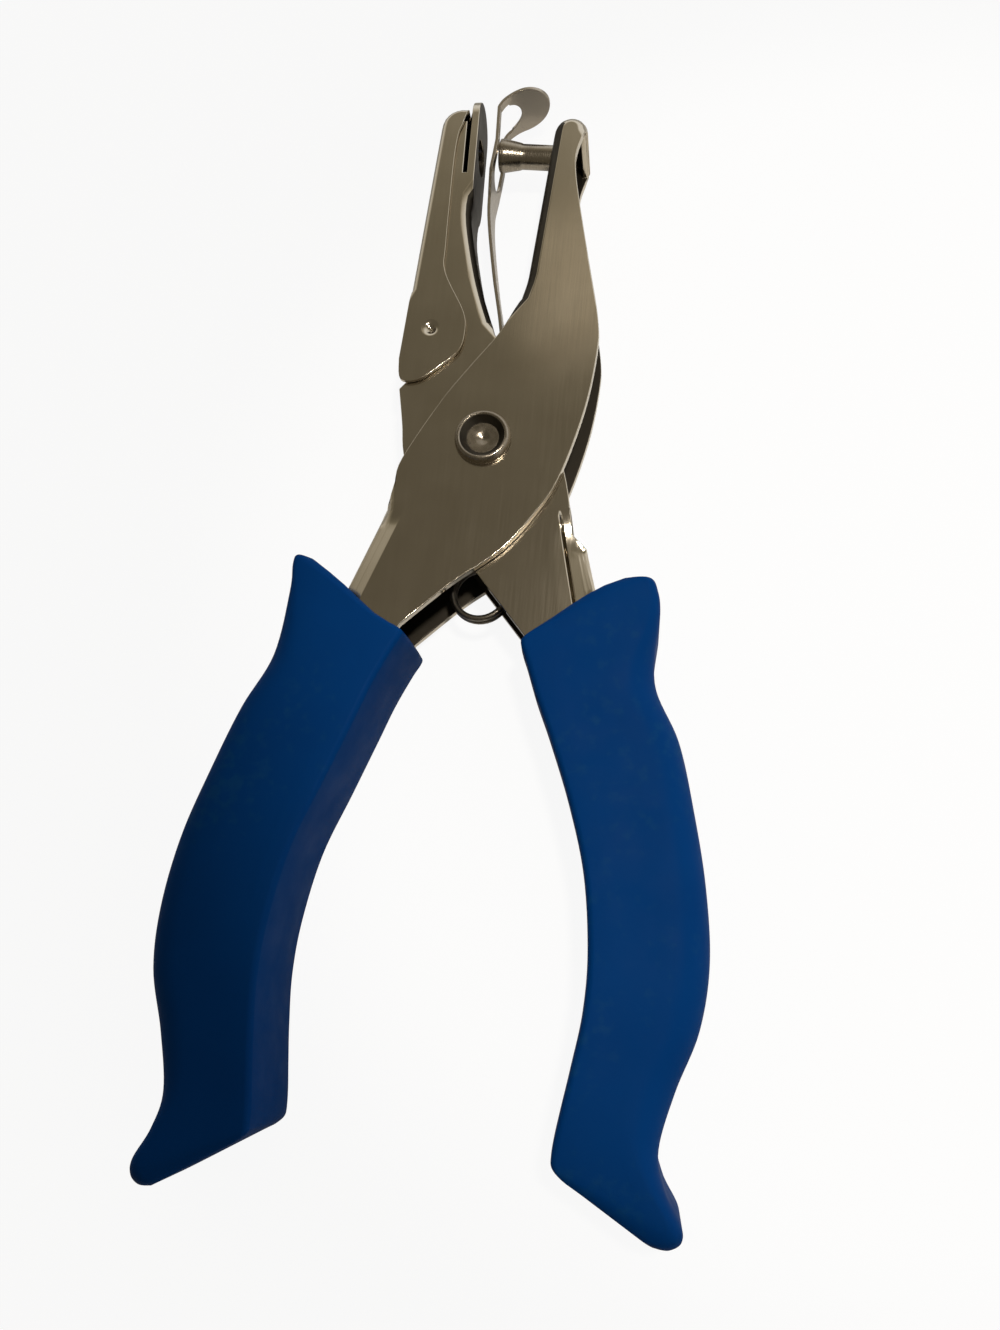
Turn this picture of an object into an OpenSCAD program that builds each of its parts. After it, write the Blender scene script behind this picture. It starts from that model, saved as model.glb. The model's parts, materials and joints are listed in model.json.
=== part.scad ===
// Single hole punch, plier type, lying on its side with the jaws open.
// Two stamped channel levers cross on one rivet. The left jaw carries the die
// hole and a hinged chip cover, the right jaw the punch pin. A slotted leaf
// strips the paper from the pin and a torsion spring opens the handles.

/* [Levers] */
// Thickness of the lever sheet
sheet_t = 1.2; // [0.8:0.1:1.6]
// Outer width of the punch lever's channel
channel_w = 11.5; // [10:0.1:12.5]
// Gap on each side between the nested levers
side_gap = 0.15; // [0.05:0.05:0.3]
// Outer radius of the pressed bends
bend_r = 2; // [1:0.1:2.5]
// Height of the punch pin above the pivot
pin_y = 53; // [50:0.5:58]
// Half width of the punch jaw's rounded tip
tip_r = 2.6; // [2.4:0.1:2.8]
// Lean of the punch jaw when open, in degrees
jaw_tilt = 3.5; // [2.5:0.5:4.5]
// Lean of the die face when open, in degrees
die_tilt = 2; // [1:0.5:3]
// Opening between die face and pivot line at the pin
die_x = 6.9; // [6.4:0.1:7.2]

/* [Punch pin] */
// Diameter of the cutting end
pin_d = 5; // [4:0.1:5.2]
// Diameter of the shank
pin_shank_d = 3.8; // [3:0.1:3.9]
// Reach of the pin out of the jaw
pin_reach = 9; // [8:0.1:9.4]
// Length of the straight cutting land
pin_land = 0.8; // [0.5:0.1:1.2]
// Length of the relief taper behind the land
pin_taper = 2.8; // [2:0.1:4]
// Radial gap between the pin and the die hole
die_gap = 0.3; // [0.2:0.05:0.5]

/* [Stripper leaf] */
// Thickness of the leaf
leaf_t = 0.5; // [0.3:0.05:0.6]
// Width of the leaf at the jaws
leaf_w = 8.5; // [8.1:0.1:8.6]
// Gap on each side of the leaf between the levers
leaf_side_gap = 0.4; // [0.3:0.05:0.8]
// Gap between the pin and the sides of the slot
slot_gap = 0.35; // [0.3:0.05:0.5]
// Reach of the flared tongue beyond the bend
tongue_l = 7.1; // [6:0.1:8]

/* [Chip cover] */
// Thickness of the cover sheet
cover_t = 0.6; // [0.4:0.05:0.6]
// Gap between the cover and the jaw it wraps
cover_gap = 0.15; // [0.1:0.05:0.2]
// Outer radius of the cover's bends
cover_bend_r = 1.2; // [0.9:0.1:1.3]
// Half width of the cover's rounded top
cover_r = 3.2; // [2.9:0.1:3.4]
// Diameter of the hinge dimples
dimple_d = 2.8; // [2:0.1:3.4]
// Running gap round pins and dimples
run_gap = 0.05; // [0.02:0.01:0.09]

/* [Pivot rivet] */
// Diameter of the rivet's shank
rivet_d = 5; // [4:0.1:5.4]
// Diameter of the rolled ring
ring_d = 8.1; // [7.4:0.1:9]
// Height of the rolled ring
ring_h = 1.4; // [0.8:0.1:1.6]
// Diameter of the plain head
head_d = 9; // [7:0.1:10]
// Height of the plain head
head_h = 1.9; // [1.4:0.1:1.9]

/* [Return spring] */
// Diameter of the spring wire
wire_d = 0.9; // [0.7:0.05:0.9]
// Mean radius of the coil
coil_r = 4; // [3.6:0.1:4.2]
// Advance of the coil for each turn
coil_pitch = 1.4; // [1.35:0.05:1.6]
// Whole turns in the coil
coil_turns = 2; // [1:1:2]
// Distance of the coil below the pivot
coil_y = 21.4; // [20.5:0.1:22.5]
// Droop of the legs, in degrees
leg_drop = 18; // [14:1:20]
// Gap between a leg's end and the lever it bears on
leg_gap = 0.2; // [0.1:0.05:0.4]

/* [Grips] */
// Thickness of the grips, across the levers
grip_h = 15.5; // [15:0.1:18]
// Length of the grips, from the horn to the toe
grip_len = 81; // [76:0.5:90]
// Distance of the horn below the pivot
grip_top = 20.4; // [20:0.1:21]

/* [Hidden] */
$fn = 48;
steps = 5;
tip_step = 15;
over = 1;
full = 1.03;
round_step = 18;
corner_off = 0.7;
short_l = 3;

zc = grip_h / 2;
inner_w = channel_w - 2 * sheet_t;
die_w = inner_w - 2 * side_gap;
die_inner_w = die_w - 2 * sheet_t;
cover_inner_w = die_w + 2 * cover_gap;
cover_w = cover_inner_w + 2 * cover_t;
leaf_shank_w = die_inner_w - 2 * leaf_side_gap;

// Curves through control points
function spline(a, b, c, d, t) =
    0.5 * (2 * b + (c - a) * t + (2 * a - 5 * b + 4 * c - d) * t * t
        + (3 * b - a - 3 * c + d) * t * t * t);
function at(p, i) = p[max(0, min(len(p) - 1, i))];
function curve(p, n = steps) = concat(
    [for (i = [0:len(p) - 2]) for (j = [0:n - 1])
        spline(at(p, i - 1), p[i], p[i + 1], at(p, i + 2), j / n)],
    [p[len(p) - 1]]);
function lift(p, z) = [p[0], p[1], z];
function reversed(p) = [for (i = [len(p) - 1:-1:0]) p[i]];
function rest(p) = [for (i = [1:len(p) - 1]) p[i]];
function mirrored(p) = [for (q = p) [-q[0], q[1]]];
function unit(v) = v / norm(v);
// Left-hand normal of a run of points, and the run moved to its left
function run_normal(p, i) = let (v = unit(at(p, i + 1) - at(p, i - 1))) [-v[1], v[0]];
function beside(p, d) = [for (i = [0:len(p) - 1]) p[i] + d * run_normal(p, i)];
// The run with both its ends moved out by d
function stretched(p, d) = let (n = len(p) - 1) [for (i = [0:n])
    i == 0 ? p[0] + d * unit(p[0] - p[1]) : i == n ? p[n] + d * unit(p[n] - p[n - 1]) : p[i]];
function turned(p, a) = [p[0] * cos(a) - p[1] * sin(a), p[0] * sin(a) + p[1] * cos(a)];
function top_of(p) = max([for (q = p) q[1]]);

// Punch jaw: a frame at the centre of its tip, with the spine along -y
punch_tip = [7.95, pin_y + 0.7];
function on_punch(p) = punch_tip + turned(p, -jaw_tilt);
punch_spine_l = pin_y - 26;
pin_drop = -1;
punch_toe = [2.9, 23.2];
punch_edge = concat([punch_toe, on_punch([-tip_r, -punch_spine_l])],
    [for (t = [180:-tip_step:0]) on_punch(tip_r * [cos(t), sin(t)])]);

// Die jaw: a frame at the die hole, with the face along y
lip_l = 9.3;
tab_l = 6.3;
tab_t = sheet_t + 0.05;
relief = 0.6;
flange_l = 3.4;
lip_r = die_w / 2;
face_l = 15;
function on_die(p) = [-die_x, pin_y] + turned(p, die_tilt);
die_bend = curve([[-0.9, 19.5], [-3.8, 27.5], on_die([0, -face_l]), on_die([0, -tab_l - 2 * bend_r])], 3);
die_spine = concat(die_bend, [on_die([0, lip_l])]);

// Handles, drawn on the right and measured down from the pivot
function grip_y(s) = -grip_top - s * grip_len;
core_out = curve([[20, grip_y(0.14)], [25.5, grip_y(0.32)],
    [29, grip_y(0.46)], [30.6, grip_y(0.61)], [28.8, grip_y(0.78)]]);
core_in = curve([[8.6, grip_y(0.1)], [12.4, grip_y(0.2)], [17, grip_y(0.33)],
    [21.2, grip_y(0.46)], [23.6, grip_y(0.61)], [22.8, grip_y(0.78)]]);

punch_neck = [[-12.8, -10.5], [-16.7, -22]];
die_neck = [[16, -15], [18, -22]];
punch_handle = concat(punch_neck, mirrored(core_out));
die_handle = concat(die_neck, core_out);
punch_roll = concat(punch_neck, mirrored([core_out[0]]));
die_roll = concat(die_neck, [core_out[0]]);

punch_outline = concat(
    curve([[10.3, pin_y + 0.5], [9.3, pin_y - 3.5], [9.4, pin_y - 7], [10.5, pin_y - 13],
        [12.7, pin_y - 23], [14.9, 20], [15.2, 14.5], [14.2, 5.5], [11.7, -4.6], [9.1, -10.2],
        [4.5, -16.6], [-2.2, -22.2], [-8.6, grip_y(0.1)]]),
    rest(mirrored(core_in)), reversed(punch_handle),
    curve([[-12.1, -7], [-11.5, -3.4], [-6.9, 5.9], [-3.2, 11.8], [0.7, 17.7], punch_toe]),
    rest(punch_edge));

die_outline = concat(
    reversed(die_spine),
    curve([[-0.4, 18], [4.5, 10.5], [9.5, 2.5], [12.4, -5.5], [13.9, -13.2]]),
    die_handle, reversed(core_in),
    curve([[1.2, -20.1], [-2.5, -16], [-6, -12], [-10.2, -6.4], [-11.9, -1.6], [-12.6, 2.6], [-13.8, 8.4]]),
    curve([[-12.7, 9.8], [-12.5, 24], [-11.5, pin_y - 3], [-10.9, pin_y + 1.4],
        on_die([-3.6, flange_l])]),
    [on_die([-tab_t - relief / 2, flange_l]), on_die([-tab_t - relief / 2, lip_l])]);

// Chip cover: a frame at the centre of its top, with the spine along -y
cover_tip = [-9.65, pin_y + 2.1];
cover_tilt = 2;
cover_spine_l = pin_y - 22;
hinge_at = [-10.1, 18.3];
function on_cover(p) = cover_tip + turned(p, -cover_tilt);
cover_edge = concat([on_cover([-cover_r, -cover_spine_l])],
    [for (t = [180:-tip_step:75]) on_cover(cover_r * [cos(t), sin(t)])]);
cover_outline = concat(reversed(cover_edge),
    curve([[-14.3, 13], [-13.6, 9.6], [-10.8, 9.7], [-7.8, 12], [-5.4, 14.6], [-4.8, 17.6],
        [-5.4, 21.2], [-9, 28], [-9.5, 33], [-10, pin_y - 6], [-9.9, pin_y],
        [-9.4, pin_y + 2.1]]));

// Leaf: an eye round the rivet, then a strip up to the flared tongue
eye_r = rivet_d / 2 + leaf_t / 2;
slot_w = pin_d + 2 * slot_gap;
leaf_x = -3.8;
bend_y = pin_y + 6.2;
taper_y = [pin_y - 9.5, pin_y - 5.5];
slot_end_x = -1.2;
leaf_path = concat(
    [for (a = [75:tip_step:345]) eye_r * [cos(a), sin(a)]],
    curve([[eye_r, 0], [1.6, 10], [0.1, 20], [-2, 29.5], [-3.9, 40], [-4.2, pin_y - 6.5],
        [leaf_x - 0.2, pin_y - 3], [leaf_x, pin_y]]),
    curve([[leaf_x - 0.3, bend_y], [leaf_x + 0.6, bend_y + 1.5], [leaf_x + 2.8, bend_y + 3.1],
        [leaf_x + tongue_l, bend_y + 4.6]]));
leaf_profile = concat(beside(leaf_path, leaf_t / 2), reversed(beside(leaf_path, -leaf_t / 2)));

// Grip stations on the right: inner point, outer point, radii of the inner and
// outer edges, and how far the section is drawn in at the ends
crisp = 1.2;
soft = 4.5;
grip_stations = [
    [9, grip_y(0.108), 23.6, grip_y(0), crisp, crisp, 0.6],
    [8.6, grip_y(0.12), 25, grip_y(0.008), crisp, crisp, 0],
    [9.5, grip_y(0.15), 25.9, grip_y(0.055), crisp, 2, 0],
    [11.4, grip_y(0.21), 26.8, grip_y(0.16), crisp, soft, 0],
    [13.6, grip_y(0.275), 29.8, grip_y(0.26), crisp, soft, 0],
    [17, grip_y(0.375), 32.4, grip_y(0.37), crisp, soft, 0],
    [19.8, grip_y(0.485), 34.6, grip_y(0.485), crisp, soft, 0],
    [21, grip_y(0.6), 35.4, grip_y(0.6), crisp, soft, 0],
    [20.9, grip_y(0.69), 34.7, grip_y(0.7), crisp, soft, 0],
    [20.1, grip_y(0.77), 32.6, grip_y(0.79), crisp, soft, 0],
    [19.3, grip_y(0.83), 31.1, grip_y(0.87), crisp, 3.5, 0],
    [18.8, grip_y(0.87), 31.7, grip_y(0.92), crisp, 2.5, 0],
    [18.5, grip_y(0.9), 33.5, grip_y(0.968), crisp, 2, 0],
    [18.8, grip_y(0.912), 33.3, grip_y(0.99), crisp, 2, 0.1],
    [19.4, grip_y(0.92), 32.4, grip_y(0.998), crisp, 2, 0.7]];
grip_run = curve(grip_stations, 3);

// The origin lies under the middle of the part, so the pivot stands ahead of it
pivot_y = -(top_of(leaf_profile) + min([for (q = grip_run) q[3]])) / 2;
echo(pivot_y = pivot_y);

module at_pivot() { translate([0, pivot_y, 0]) children(); }

module slab(w) { translate([0, 0, zc - w / 2]) linear_extrude(w) children(); }

// A closed tube over rings of m points each
module skin(rings, m) {
    n = len(rings);
    e = (n - 1) * m;
    points = [for (r = rings) for (q = r) q];
    sides = [for (i = [0:n - 2]) for (k = [0:m - 1]) let (a = i * m + k, b = i * m + (k + 1) % m)
        each [[a, b, a + m], [b, b + m, a + m]]];
    ends = [for (k = [1:m - 2]) each [[0, k + 1, k], [e, e + k, e + k + 1]]];
    polyhedron(points, concat(sides, ends));
}

// A run for a bend: a point on each side of every corner, and both ends led out past
// the edge by d, so that the bend fades into the flat
function off_corners(p) = [for (i = [0:len(p) - 2]) let (a = p[i], b = p[i + 1], v = corner_off * unit(b - a))
    each norm(b - a) < short_l ? [(a + b) / 2] : [a + v, b - v]];
function led_out(p, d) = let (n = len(p) - 1, s = stretched(p, 2 * d))
    concat([s[0] - d * run_normal(p, 0)], off_corners(p), [s[n] - d * run_normal(p, n)]);

// Rounds the pressed edges of a channel w wide along the right of a run of points
function round_section(r) = concat([[over, over / 2], [-r, over / 2]],
    [for (a = [90:-round_step:0]) r * [full * cos(a) - 1, full * sin(a) - 1]], [[over, -r]]);
module edge_round(edge, w, r) {
    section = round_section(r);
    run = led_out(edge, full * r);
    rings = [for (i = [0:len(run) - 1]) let (n = run_normal(run, i))
        [for (q = section) lift(run[i] - q[0] * n, w / 2 + q[1])]];
    for (side = [0, 1]) translate([0, 0, zc]) mirror([0, 0, side]) skin(rings, len(section));
}

// Covers a wall of thickness t along the left of an edge, and the air outside it
module wall(edge, t) {
    run = stretched(edge, over / 2);
    polygon(concat(beside(run, -sign(t) * over), reversed(beside(run, t))));
}

module punch_walls() {
    wall(punch_edge, -sheet_t);
    wall(punch_handle, sheet_t);
}

// Everything inside a channel that is not one of its walls
module hollow(w) {
    slab(w) difference() {
        square(400, center = true);
        children();
    }
}

module pivot_bore() { translate([0, 0, -over]) cylinder(d = rivet_d + 2 * run_gap, h = grip_h + 2 * over); }

module punch_channel() difference() {
    slab(channel_w) polygon(punch_outline);
    hollow(inner_w) punch_walls();
    edge_round(reversed(punch_edge), channel_w, bend_r);
    edge_round(punch_roll, channel_w, bend_r);
}

module punch_lever() color("silver") at_pivot() difference() {
    punch_channel();
    pivot_bore();
    on_pin_axis() cylinder(d = pin_shank_d, h = 2 * sheet_t + over, center = true);
}

// Puts children on the pin's axis, z towards the die, with zero on the jaw's spine
pin_base = on_punch([-tip_r, pin_drop]);
module on_pin_axis() {
    translate([pin_base[0], pin_base[1], zc]) rotate(-jaw_tilt) rotate([0, -90, 0]) children();
}

pin_dish = 0.5;
module punch_pin() color("dimgray") at_pivot() on_pin_axis() rotate_extrude()
    polygon([[0, -sheet_t], [pin_shank_d / 2, -sheet_t], [pin_shank_d / 2, pin_reach - pin_land - pin_taper],
        [pin_d / 2, pin_reach - pin_land], [pin_d / 2, pin_reach], [0, pin_reach - pin_dish]]);

module die_walls() {
    wall(die_spine, sheet_t);
    wall(die_handle, -sheet_t);
}

// The die hole lies where the pin's cutting land passes the die face
bite = pin_base + (pin_reach - 2) * turned([-1, 0], -jaw_tilt);
die_hole_y = sqrt(pow(norm(bite), 2) - pow(die_x, 2)) - pin_y;

module die_channel() difference() {
    slab(die_w) polygon(die_outline);
    hollow(die_inner_w) die_walls();
    edge_round(die_bend, die_w, bend_r);
    edge_round(reversed(die_roll), die_w, bend_r);
}

module die_lever() color("silver") at_pivot() difference() {
    die_channel();
    translate([-die_x, pin_y, zc]) rotate(die_tilt) {
        translate([0, die_hole_y, 0]) rotate([0, 90, 0])
            cylinder(d = pin_d + 2 * die_gap, h = 4 * sheet_t, center = true);
        lip_corners();
        translate([-tab_t - relief, -tab_l, -die_w]) cube([relief, 2 * lip_l, 2 * die_w]);
    }
    pivot_bore();
    translate([hinge_at[0], hinge_at[1], 0]) cylinder(d = dimple_d + 2 * run_gap, h = grip_h);
}

// Leaves the die face a half-round end
module lip_corners() {
    difference() {
        translate([-2 * sheet_t, lip_l - lip_r, -die_w]) cube([4 * sheet_t, 2 * lip_r, 2 * die_w]);
        translate([0, lip_l - lip_r, 0]) rotate([0, 90, 0]) cylinder(r = lip_r, h = 9 * sheet_t, center = true);
    }
}

dimple_in = cover_gap + sheet_t;
module chip_cover() color("gainsboro") at_pivot() difference() {
    union() {
        difference() {
            slab(cover_w) polygon(cover_outline);
            hollow(cover_inner_w) wall(cover_edge, -cover_t);
            edge_round(reversed(cover_edge), cover_w, cover_bend_r);
        }
        dimples() cylinder(d = dimple_d, h = dimple_in + cover_t);
    }
    dimples() translate([0, 0, dimple_in - 0.3]) cylinder(d1 = dimple_d / 4, d2 = dimple_d * 0.8, h = cover_t + 0.35);
}

// Puts children on both hinge dimples, z outwards, with zero at the dimple's end
module dimples() {
    for (side = [0, 1]) translate([hinge_at[0], hinge_at[1], zc]) mirror([0, 0, side])
        translate([0, 0, cover_inner_w / 2 - dimple_in]) children();
}

module leaf_width() {
    translate([-40, 0, zc]) rotate([90, 0, 90]) linear_extrude(80)
        polygon([[-5, -leaf_shank_w / 2], [taper_y[0], -leaf_shank_w / 2], [taper_y[1], -leaf_w / 2],
            [bend_y + 9, -leaf_w / 2], [bend_y + 9, leaf_w / 2], [taper_y[1], leaf_w / 2],
            [taper_y[0], leaf_shank_w / 2], [-5, leaf_shank_w / 2]]);
}

slot_foot = pin_y - 3;
module stripper_leaf() color("lightgray") at_pivot() difference() {
    intersection() {
        slab(leaf_w) polygon(leaf_profile);
        leaf_width();
    }
    pivot_bore();
    translate([leaf_x - 4, slot_foot, zc]) rotate([0, 90, 0]) cylinder(d = slot_w, h = 5);
    translate([leaf_x - 4, slot_foot, zc - slot_w / 2]) cube([5, bend_y - slot_foot + 2, slot_w]);
    translate([slot_end_x - slot_w / 2, pin_y, zc]) rotate([-90, 0, 0]) cylinder(d = slot_w, h = 20);
    difference() {
        translate([leaf_x + tongue_l - leaf_w / 2, bend_y, zc - leaf_w]) cube([leaf_w, 20, 2 * leaf_w]);
        translate([leaf_x + tongue_l - leaf_w / 2, bend_y - 1, zc]) rotate([-90, 0, 0])
            cylinder(d = leaf_w, h = 22);
    }
}

ring_crest = 0.82;
ring_bore = 0.56;
module pivot_rivet() color("silver") at_pivot() translate([0, 0, zc]) rotate_extrude() {
    r = ring_d / 2;
    h = channel_w / 2;
    polygon([[0, h - 1.1], [r * ring_bore - 0.15, h], [r * ring_bore, h + ring_h * 0.25],
        [r * 0.7, h + ring_h * 0.7], [r * ring_crest, h + ring_h], [r * 0.92, h + ring_h * 0.85],
        [r, h + ring_h * 0.4], [r, h], [rivet_d / 2, h], [rivet_d / 2, -h], [head_d / 2, -h],
        [head_d / 2, -h - head_h * 0.4], [head_d * 0.38, -h - head_h * 0.85],
        [head_d * 0.2, -h - head_h], [0, -h - head_h]]);
}

// Return spring: a leg to each lever's spine and the coil between them
coil_at = [1.2, -coil_y];
function meet(p, d, a, b) = let (e = b - a) (((a - p)[0]) * e[1] - ((a - p)[1]) * e[0]) / (d[0] * e[1] - d[1] * e[0]);
leg_room = leg_gap + wire_d / 2;
left_dir = [-cos(leg_drop), -sin(leg_drop)];
right_dir = [cos(leg_drop), -sin(leg_drop)];
left_at = coil_at + coil_r * [-sin(leg_drop), cos(leg_drop)];
right_at = coil_at + coil_r * [sin(leg_drop), cos(leg_drop)];
left_seat = beside(punch_neck, sheet_t + leg_room);
right_seat = beside(die_neck, -sheet_t - leg_room);
left_l = meet(left_at, left_dir, left_seat[0], left_seat[1]);
right_l = meet(right_at, right_dir, right_seat[0], right_seat[1]);
coil_sweep = 360 * coil_turns + 2 * leg_drop;
coil_h = coil_pitch * coil_sweep / 360;
turn_rings = 24;
coil_n = ceil(turn_rings * coil_sweep / 360);
spring_path = concat(
    [lift(left_at + left_l * left_dir, zc + coil_h / 2)],
    [for (i = [0:coil_n]) let (a = 90 + leg_drop - coil_sweep * i / coil_n)
        lift(coil_at + coil_r * [cos(a), sin(a)], zc + coil_h / 2 - coil_h * i / coil_n)],
    [lift(right_at + right_l * right_dir, zc - coil_h / 2)]);
wire_sides = 8;
function wire_ring(p, i) =
    let (t = unit(at(p, i + 1) - at(p, i - 1)), n = unit(cross([0, 0, 1], t)), b = cross(t, n))
    [for (k = [0:wire_sides - 1]) let (a = 360 * k / wire_sides)
        p[i] + wire_d / 2 * (cos(a) * n - sin(a) * b)];
spring_self_gap = min([for (i = [0:len(spring_path) - 1]) for (j = [i + turn_rings / 2:1:len(spring_path) - 1])
    norm(spring_path[i] - spring_path[j])]) - wire_d;
echo(spring_self_gap = spring_self_gap);

module return_spring() color("dimgray") at_pivot()
    skin([for (i = [0:len(spring_path) - 1]) wire_ring(spring_path, i)], wire_sides);

// Grip: a rounded box section carried along the stations
corner_n = 4;
function corner(x, z, r, a) = [for (k = [0:corner_n]) let (b = a - 90 * k / corner_n) [x + r * cos(b), z + r * sin(b)]];
function grip_section(w, ri, ro) = concat(corner(ri, ri, ri, 270), corner(ri, grip_h - ri, ri, 180),
    corner(w - ro, grip_h - ro, ro, 90), corner(w - ro, ro, ro, 0));
function grip_ring(q) = let (a = [q[0], q[1]], b = [q[2], q[3]], w = norm(b - a), d = max(0, q[6]))
    [for (e = grip_section(w, q[4], q[5]))
        lift(a + (d + e[0] * (1 - 2 * d / w)) * unit(b - a), d + e[1] * (1 - 2 * d / grip_h))];

module grip_body() { skin([for (q = grip_run) grip_ring(q)], 4 * (corner_n + 1)); }

module right_grip() color("royalblue") at_pivot() difference() {
    grip_body();
    slab(die_w) polygon(die_outline);
}

module left_grip() color("royalblue") at_pivot() difference() {
    mirror([1, 0, 0]) grip_body();
    slab(channel_w) polygon(punch_outline);
}

punch_lever();
punch_pin();
left_grip();
pivot_rivet();
return_spring();
die_lever();
right_grip();
chip_cover();
stripper_leaf();
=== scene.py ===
import json
import math

import bmesh
import bpy
import numpy as np
from mathutils import Matrix, Vector


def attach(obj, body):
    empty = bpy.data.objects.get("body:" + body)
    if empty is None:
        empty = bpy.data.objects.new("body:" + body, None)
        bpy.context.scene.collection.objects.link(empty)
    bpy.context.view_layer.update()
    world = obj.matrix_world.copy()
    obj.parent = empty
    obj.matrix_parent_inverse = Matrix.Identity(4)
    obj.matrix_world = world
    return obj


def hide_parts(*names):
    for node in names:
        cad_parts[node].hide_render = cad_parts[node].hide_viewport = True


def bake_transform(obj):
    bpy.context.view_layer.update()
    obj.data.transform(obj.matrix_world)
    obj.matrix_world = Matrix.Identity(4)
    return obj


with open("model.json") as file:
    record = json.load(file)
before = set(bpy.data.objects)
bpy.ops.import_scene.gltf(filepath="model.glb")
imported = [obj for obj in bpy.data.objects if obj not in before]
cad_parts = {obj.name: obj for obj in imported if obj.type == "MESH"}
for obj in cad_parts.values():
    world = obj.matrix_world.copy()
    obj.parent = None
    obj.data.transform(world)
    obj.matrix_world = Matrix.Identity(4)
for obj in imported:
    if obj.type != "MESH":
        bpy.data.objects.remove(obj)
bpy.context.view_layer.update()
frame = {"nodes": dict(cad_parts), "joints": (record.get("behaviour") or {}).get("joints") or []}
nodes = frame["nodes"]
mm = 0.001
joints = {j["name"]: np.array(j["pos_m"]) / mm for j in frame["joints"]}
pivot = joints["squeeze"]
print("frame loaded with", len(nodes), "nodes")


# Colours, nodes and materials

def hexLinear(code):
    # each sRGB channel to linear light: a straight toe, then a power of 2.4
    channels = [int(code[i:i + 2], 16) / 255 for i in (1, 3, 5)]
    return [c / 12.92 if c <= 0.04045 else ((c + 0.055) / 1.055) ** 2.4 for c in channels] + [1.0]


def addNode(tree, kind, inputs=None, **settings):
    # inputs are named or numbered: 0, 6 and 7 of a colour Mix are its factor and its two colours
    node = tree.nodes.new("ShaderNode" + kind)
    for key, value in settings.items():
        setattr(node, key, value)
    for key, value in (inputs or {}).items():
        if isinstance(value, bpy.types.NodeSocket):
            tree.links.new(value, node.inputs[key])
        else:
            node.inputs[key].default_value = value
    return node


def startMaterial(name, **sockets):
    material = bpy.data.materials.new(name)
    material.use_nodes = True
    tree = material.node_tree
    shader = tree.nodes["Principled BSDF"]
    for key, value in sockets.items():
        shader.inputs[key.replace("_", " ")].default_value = value
    place = addNode(tree, "TexCoord").outputs["Object"]
    return material, tree, shader, place


def per(size):
    # texture scale for a pattern whose features are this many millimetres wide
    return 1 / (size * mm)


def finishMetal(tree, shader, look, tone, wear):
    # one pattern mixes the two shades and the other, or the same one, spreads the roughness over its span
    tint = addNode(tree, "Mix", {0: tone, 6: hexLinear(look["bright"]), 7: hexLinear(look["dull"])},
                   data_type="RGBA")
    start, end = look["span"]
    low, high = look["roughness"]
    gloss = addNode(tree, "MapRange", {"Value": wear, "From Min": start, "From Max": end,
                                       "To Min": low, "To Max": high})
    tree.links.new(tint.outputs[2], shader.inputs["Base Color"])
    tree.links.new(gloss.outputs["Result"], shader.inputs["Roughness"])


def spottedMetal(name, look):
    material, tree, shader, place = startMaterial(name, Metallic=1.0)
    spots = addNode(tree, "TexNoise", {"Vector": place, "Scale": per(look["spot"]), "Detail": look["detail"]})
    finishMetal(tree, shader, look, spots.outputs["Fac"], spots.outputs["Fac"])
    return material


def linedMetal(name, look):
    # line gives the width of the pattern's features along x, y and z, so it is drawn out into lines
    material, tree, shader, place = startMaterial(name, Metallic=1.0)
    stretch = addNode(tree, "Mapping", {"Vector": place, "Scale": [per(size) for size in look["line"]]})
    lines = addNode(tree, "TexNoise", {"Vector": stretch.outputs["Vector"], "Scale": 1.0,
                                       "Detail": look["detail"]})
    finishMetal(tree, shader, look, lines.outputs["Fac"], lines.outputs["Fac"])
    return material


# Bright nickel over pressed and drawn steel: near mirror, faintly wavy, with hair-fine drawing lines
nickelLook = {
    "bright": "#cbc2b1", "dull": "#b8ae9c", "cloud": 7.0, "line": (0.16, 9.0, 0.16), "wave": 11.0,
    "roughness": (0.13, 0.19), "span": (0.3, 0.75), "waveHeight": 0.05, "lineHeight": 0.0025,
    "cloudDetail": 4.0, "lineDetail": 3.0, "waveDetail": 1.0,
}


def nickelPlatedSteel():
    look = nickelLook
    material, tree, shader, place = startMaterial("nickelPlatedSteel", Metallic=1.0)
    cloud = addNode(tree, "TexNoise", {"Vector": place, "Scale": per(look["cloud"]),
                                       "Detail": look["cloudDetail"]})
    stretch = addNode(tree, "Mapping", {"Vector": place, "Scale": [per(size) for size in look["line"]]})
    lines = addNode(tree, "TexNoise", {"Vector": stretch.outputs["Vector"], "Scale": 1.0,
                                       "Detail": look["lineDetail"]})
    finishMetal(tree, shader, look, cloud.outputs["Fac"], lines.outputs["Fac"])
    wave = addNode(tree, "TexNoise", {"Vector": place, "Scale": per(look["wave"]),
                                      "Detail": look["waveDetail"]})
    swell = addNode(tree, "Bump", {"Height": wave.outputs["Fac"], "Strength": 1.0,
                                   "Distance": look["waveHeight"] * mm})
    grain = addNode(tree, "Bump", {"Height": lines.outputs["Fac"], "Strength": 1.0,
                                   "Distance": look["lineHeight"] * mm, "Normal": swell.outputs["Normal"]})
    tree.links.new(grain.outputs["Normal"], shader.inputs["Normal"])
    return material


# Cold-rolled spring strip: bright, with fine rolling lines along its length
stripLook = {
    "bright": "#b9b0a2", "dull": "#9b9284", "line": (0.12, 14.0, 0.12), "detail": 4.0,
    "roughness": (0.16, 0.3), "span": (0.3, 0.7),
}

# Turned and hardened tool steel: grey-brown temper colour and rings left by the lathe, fine along the axis x
pinLook = {
    "bright": "#aba293", "dull": "#8f8677", "line": (0.09, 6.0, 6.0), "detail": 2.0,
    "roughness": (0.2, 0.3), "span": (0.3, 0.7),
}

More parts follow.
